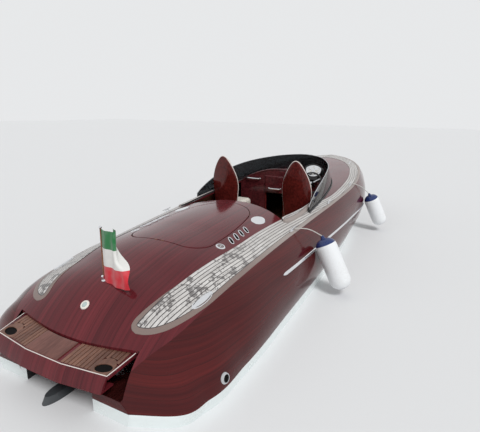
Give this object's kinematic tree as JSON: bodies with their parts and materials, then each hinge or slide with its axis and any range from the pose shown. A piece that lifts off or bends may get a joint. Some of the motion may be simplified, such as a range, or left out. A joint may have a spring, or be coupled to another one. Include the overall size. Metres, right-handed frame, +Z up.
{
  "type": "mahogany sports runabout, an open speedboat with a sterndrive",
  "caption": "Varnished mahogany open speedboat afloat, with teak side decks, engine hatch, wraparound windscreen, bucket seats, swim platform and sterndrive.",
  "frame": {"origin": "amidships on the centreline at the waterline", "axes": "+X forward to the bow, +Y to port, +Z up; z = 0 is the waterline"},
  "size_m": [8.7399, 2.9721, 2.48],
  "materials": {
    "bottom_paint": "white antifouling and boot stripe, satin",
    "mahogany": "varnished mahogany, high gloss",
    "teak": "oiled teak planking with pale seams",
    "inner_wood": "varnished plywood, satin",
    "chrome": "polished chrome on brass and stainless",
    "bracket_steel": "brushed stainless",
    "tinted_glass": "dark tinted glass",
    "ivory_leather": "ivory leather cushions",
    "seat_base_paint": "ivory moulded seat base",
    "black_plastic": "black soft-grip plastic",
    "gauge_silver": "brushed gauge panel",
    "flag_cloth": "three-band cloth, green, white and red",
    "fender_vinyl": "white inflated vinyl with navy ends",
    "rope": "white braided line",
    "engine_grey": "painted engine block",
    "drive_grey": "light grey paint on cast aluminium",
    "propeller_bronze": "polished bronze"
  },
  "bodies": {
    "hull": {"hull_bottom": "bottom_paint", "transom": "mahogany", "topsides_port": "mahogany", "topsides_starboard": "mahogany", "aft_deck": "mahogany", "foredeck": "mahogany", "dashboard": "mahogany", "dash_cowl": "mahogany", "swim_platform": "mahogany", "seat_shell_port": "mahogany", "seat_shell_starboard": "mahogany", "side_deck_port": "teak", "side_deck_starboard": "teak", "platform_slats": "teak", "cockpit_sole": "teak", "coaming_pad_port": "teak", "coaming_pad_starboard": "teak", "engine_bulkhead": "inner_wood", "cuddy_bulkhead": "inner_wood", "engine_bearers": "inner_wood", "hatch_landing": "inner_wood", "rub_strip_port": "chrome", "rub_strip_starboard": "chrome", "louvres": "chrome", "deck_caps": "chrome", "stern_lamp": "chrome", "bow_light": "chrome", "cleats": "chrome", "exhaust_outlets": "chrome", "dash_handles": "chrome", "windscreen_channel": "chrome", "flagstaff": "chrome", "platform_brackets": "bracket_steel", "windscreen_glass": "tinted_glass", "seat_cushion_port": "ivory_leather", "seat_cushion_starboard": "ivory_leather", "back_cushion_port": "ivory_leather", "back_cushion_starboard": "ivory_leather", "seat_base_port": "seat_base_paint", "seat_base_starboard": "seat_base_paint", "steering_column": "black_plastic", "gauge_pod": "black_plastic", "gauge_panel": "gauge_silver", "flag": "flag_cloth", "fender_aft": "fender_vinyl", "fender_forward": "fender_vinyl", "fender_aft_line": "rope", "fender_forward_line": "rope", "engine": "engine_grey", "gimbal_housing": "drive_grey"},
    "hatch": {"engine_hatch": "mahogany"},
    "helm": {"steering_wheel": "black_plastic"},
    "drive": {"drive_leg": "drive_grey"},
    "screw": {"propeller": "propeller_bronze"}
  },
  "joints": [
    {"name": "hatch_hinge", "type": "hinge", "parent": "hull", "child": "hatch", "pos_m": [-2.8695, 0, 0.92988], "axis": [0, -1, 0], "range_deg": [0, 60]},
    {"name": "drive_steer", "type": "hinge", "parent": "hull", "child": "drive", "pos_m": [-3.96, 0, -0.06], "axis": [0, 0, 1], "range_deg": [-28, 28]},
    {"name": "helm_turn", "type": "hinge", "parent": "hull", "child": "helm", "pos_m": [0.36, -0.612, 1.09], "axis": [-0.9063, 0, 0.4226], "range_deg": [-450, 450]},
    {"name": "propeller_spin", "type": "hinge", "parent": "drive", "child": "screw", "pos_m": [-4.4, 0, -0.7], "axis": [1, 0, 0], "continuous": true}
  ],
  "couplings": [
    {"joint": "helm_turn", "follows": "drive_steer", "ratio": -16}
  ]
}
